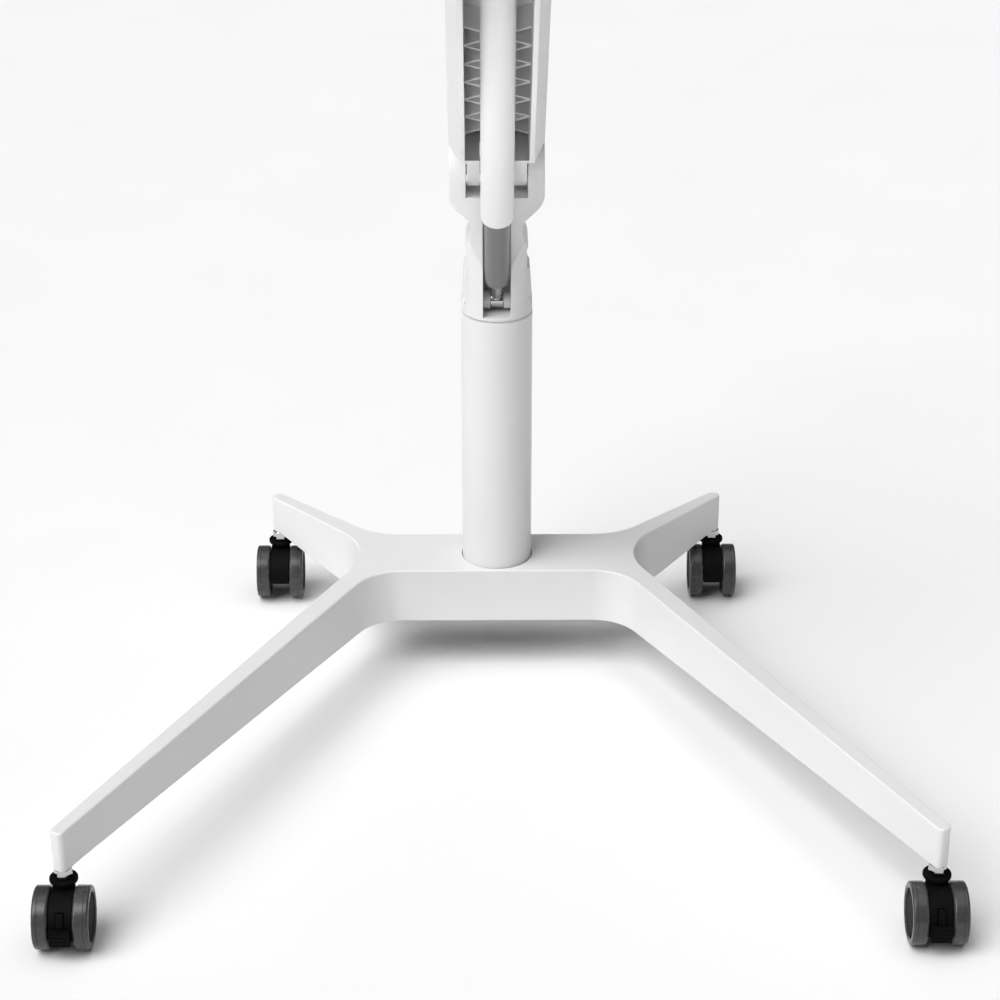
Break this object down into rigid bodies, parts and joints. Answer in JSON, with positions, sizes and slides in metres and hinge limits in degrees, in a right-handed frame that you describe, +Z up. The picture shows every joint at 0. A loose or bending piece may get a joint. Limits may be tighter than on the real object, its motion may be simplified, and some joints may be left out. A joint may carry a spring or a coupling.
{
  "type": "facial steamer",
  "caption": "White facial steamer on a castored four-legged base, with a round column and a gas-spring boom arm carrying a domed steam head with a rear water tank.",
  "frame": {"origin": "on the floor under the column's axis", "axes": "+Z up, -Y towards the long front legs and the boom arm's reach, +X to the right seen from the front"},
  "size_m": [0.723, 0.6786, 1.1622],
  "materials": {
    "white_coat": "satin white powder coat",
    "white_cast": "satin white powder coat on a casting",
    "black_plate": "black coated sheet",
    "steel": "bright zinc plated steel",
    "grey_bush": "pale grey bearing plastic",
    "chrome": "polished chrome",
    "grey_paint": "satin grey lacquer",
    "heater": "heat-toned steel tube",
    "white_plastic": "white moulded plastic",
    "clear_plastic": "clear moulded plastic",
    "grey_plastic": "grey moulded plastic",
    "black_plastic": "black moulded plastic",
    "grey_tread": "dark grey moulded tread",
    "board": "circuit board"
  },
  "bodies": {
    "root": {"base_frame": "white_coat", "base_cover_plate": "black_plate", "cover_screws": "steel", "column_tube": "white_coat", "column_plug": "steel", "column_bolt": "steel", "swivel_bush": "grey_bush", "castor_stems": "chrome"},
    "head_casting": {"column_head": "white_coat", "arm_pivot_pin": "steel", "spring_pin_lower": "steel", "spring_spacers": "grey_bush", "pin_plugs": "white_coat"},
    "arm": {"boom_arm": "white_cast", "arm_bushes": "grey_bush", "spring_pin_upper": "steel", "wrist_pin": "steel"},
    "spring_lower": {"gas_lower_eye": "chrome", "gas_cylinder": "grey_paint"},
    "spring_upper": {"gas_rod": "steel", "gas_sleeve": "white_coat", "gas_upper_eye": "chrome"},
    "wrist": {"wrist_bracket": "white_cast"},
    "steamer": {"housing_lower": "white_plastic", "housing_upper": "white_plastic", "boiler_cup": "steel", "heater_coil": "heater", "control_board": "board", "water_tank": "clear_plastic", "power_inlet": "black_plastic"},
    "outlet": {"steam_outlet": "white_plastic"},
    "cap": {"tank_cap": "grey_plastic"},
    "knob": {"mist_knob": "white_plastic"},
    "button": {"power_button": "grey_plastic"},
    "castor_fl": {"castor_fl_body": "black_plastic", "castor_fl_axle": "steel"},
    "castor_fl_left_wheel": {"castor_fl_left_hub": "black_plastic", "castor_fl_left_tread": "grey_tread"},
    "castor_fl_right_wheel": {"castor_fl_right_hub": "black_plastic", "castor_fl_right_tread": "grey_tread"},
    "castor_fl_brake": {"castor_fl_pedal": "black_plastic"},
    "castor_fr": {"castor_fr_body": "black_plastic", "castor_fr_axle": "steel"},
    "castor_fr_left_wheel": {"castor_fr_left_hub": "black_plastic", "castor_fr_left_tread": "grey_tread"},
    "castor_fr_right_wheel": {"castor_fr_right_hub": "black_plastic", "castor_fr_right_tread": "grey_tread"},
    "castor_fr_brake": {"castor_fr_pedal": "black_plastic"},
    "castor_rl": {"castor_rl_body": "black_plastic", "castor_rl_axle": "steel"},
    "castor_rl_left_wheel": {"castor_rl_left_hub": "black_plastic", "castor_rl_left_tread": "grey_tread"},
    "castor_rl_right_wheel": {"castor_rl_right_hub": "black_plastic", "castor_rl_right_tread": "grey_tread"},
    "castor_rr": {"castor_rr_body": "black_plastic", "castor_rr_axle": "steel"},
    "castor_rr_left_wheel": {"castor_rr_left_hub": "black_plastic", "castor_rr_left_tread": "grey_tread"},
    "castor_rr_right_wheel": {"castor_rr_right_hub": "black_plastic", "castor_rr_right_tread": "grey_tread"}
  },
  "joints": [
    {"name": "column_pan", "type": "hinge", "parent": "root", "child": "head_casting", "pos_m": [0, 0, 0.3432], "axis": [0, 0, 1], "range_deg": [-170, 170]},
    {"name": "arm_lift", "type": "hinge", "parent": "head_casting", "child": "arm", "pos_m": [0, 0, 0.476], "axis": [1, 0, 0], "range_deg": [-18, 22]},
    {"name": "spring_lower_pivot", "type": "hinge", "parent": "head_casting", "child": "spring_lower", "pos_m": [0, -0.01, 0.356], "axis": [1, 0, 0], "range_deg": [-14, 17]},
    {"name": "spring_upper_pivot", "type": "hinge", "parent": "arm", "child": "spring_upper", "pos_m": [0, -0.20094, 0.69882], "axis": [1, 0, 0], "range_deg": [-6, 5]},
    {"name": "wrist_tilt", "type": "hinge", "parent": "arm", "child": "wrist", "pos_m": [0, -0.4092, 0.91481], "axis": [1, 0, 0], "range_deg": [-40, 40]},
    {"name": "head_pan", "type": "hinge", "parent": "wrist", "child": "steamer", "pos_m": [0, -0.4572, 0.93281], "axis": [0, 0, 1], "range_deg": [-90, 90]},
    {"name": "outlet_turn", "type": "hinge", "parent": "steamer", "child": "outlet", "pos_m": [0, -0.4572, 1.08571], "axis": [0, 0, 1], "continuous": true},
    {"name": "tank_cap_turn", "type": "hinge", "parent": "steamer", "child": "cap", "pos_m": [0, -0.3559, 1.05951], "axis": [0, 0, 1], "continuous": true},
    {"name": "mist_knob_turn", "type": "hinge", "parent": "steamer", "child": "knob", "pos_m": [-0.01, -0.5372, 0.97321], "axis": [0, -1, 0], "range_deg": [0, 270]},
    {"name": "power_button_press", "type": "slide", "parent": "steamer", "child": "button", "axis": [0, 1, 0], "range_m": [0, 0.0018], "stiffness_N_per_m": 400},
    {"name": "castor_fl_swivel", "type": "hinge", "parent": "root", "child": "castor_fl", "pos_m": [-0.3395, -0.445, 0.0545], "axis": [0, 0, 1], "continuous": true},
    {"name": "castor_fl_left_spin", "type": "hinge", "parent": "castor_fl", "child": "castor_fl_left_wheel", "pos_m": [-0.3395, -0.458, 0.025], "axis": [1, 0, 0], "continuous": true},
    {"name": "castor_fl_right_spin", "type": "hinge", "parent": "castor_fl", "child": "castor_fl_right_wheel", "pos_m": [-0.3395, -0.458, 0.025], "axis": [1, 0, 0], "continuous": true},
    {"name": "castor_fl_brake_flip", "type": "hinge", "parent": "castor_fl", "child": "castor_fl_brake", "pos_m": [-0.3395, -0.458, 0.025], "axis": [1, 0, 0], "range_deg": [0, 20]},
    {"name": "castor_fr_swivel", "type": "hinge", "parent": "root", "child": "castor_fr", "pos_m": [0.3395, -0.445, 0.0545], "axis": [0, 0, 1], "continuous": true},
    {"name": "castor_fr_left_spin", "type": "hinge", "parent": "castor_fr", "child": "castor_fr_left_wheel", "pos_m": [0.3395, -0.458, 0.025], "axis": [1, 0, 0], "continuous": true},
    {"name": "castor_fr_right_spin", "type": "hinge", "parent": "castor_fr", "child": "castor_fr_right_wheel", "pos_m": [0.3395, -0.458, 0.025], "axis": [1, 0, 0], "continuous": true},
    {"name": "castor_fr_brake_flip", "type": "hinge", "parent": "castor_fr", "child": "castor_fr_brake", "pos_m": [0.3395, -0.458, 0.025], "axis": [1, 0, 0], "range_deg": [0, 20]},
    {"name": "castor_rl_swivel", "type": "hinge", "parent": "root", "child": "castor_rl", "pos_m": [-0.209, 0.116, 0.0545], "axis": [0, 0, 1], "continuous": true},
    {"name": "castor_rl_left_spin", "type": "hinge", "parent": "castor_rl", "child": "castor_rl_left_wheel", "pos_m": [-0.209, 0.103, 0.025], "axis": [1, 0, 0], "continuous": true},
    {"name": "castor_rl_right_spin", "type": "hinge", "parent": "castor_rl", "child": "castor_rl_right_wheel", "pos_m": [-0.209, 0.103, 0.025], "axis": [1, 0, 0], "continuous": true},
    {"name": "castor_rr_swivel", "type": "hinge", "parent": "root", "child": "castor_rr", "pos_m": [0.209, 0.116, 0.0545], "axis": [0, 0, 1], "continuous": true},
    {"name": "castor_rr_left_spin", "type": "hinge", "parent": "castor_rr", "child": "castor_rr_left_wheel", "pos_m": [0.209, 0.103, 0.025], "axis": [1, 0, 0], "continuous": true},
    {"name": "castor_rr_right_spin", "type": "hinge", "parent": "castor_rr", "child": "castor_rr_right_wheel", "pos_m": [0.209, 0.103, 0.025], "axis": [1, 0, 0], "continuous": true}
  ],
  "couplings": [
    {"joint": "spring_lower_pivot", "follows": "arm_lift", "ratio": 0.75},
    {"joint": "spring_upper_pivot", "follows": "arm_lift", "ratio": -0.25}
  ]
}
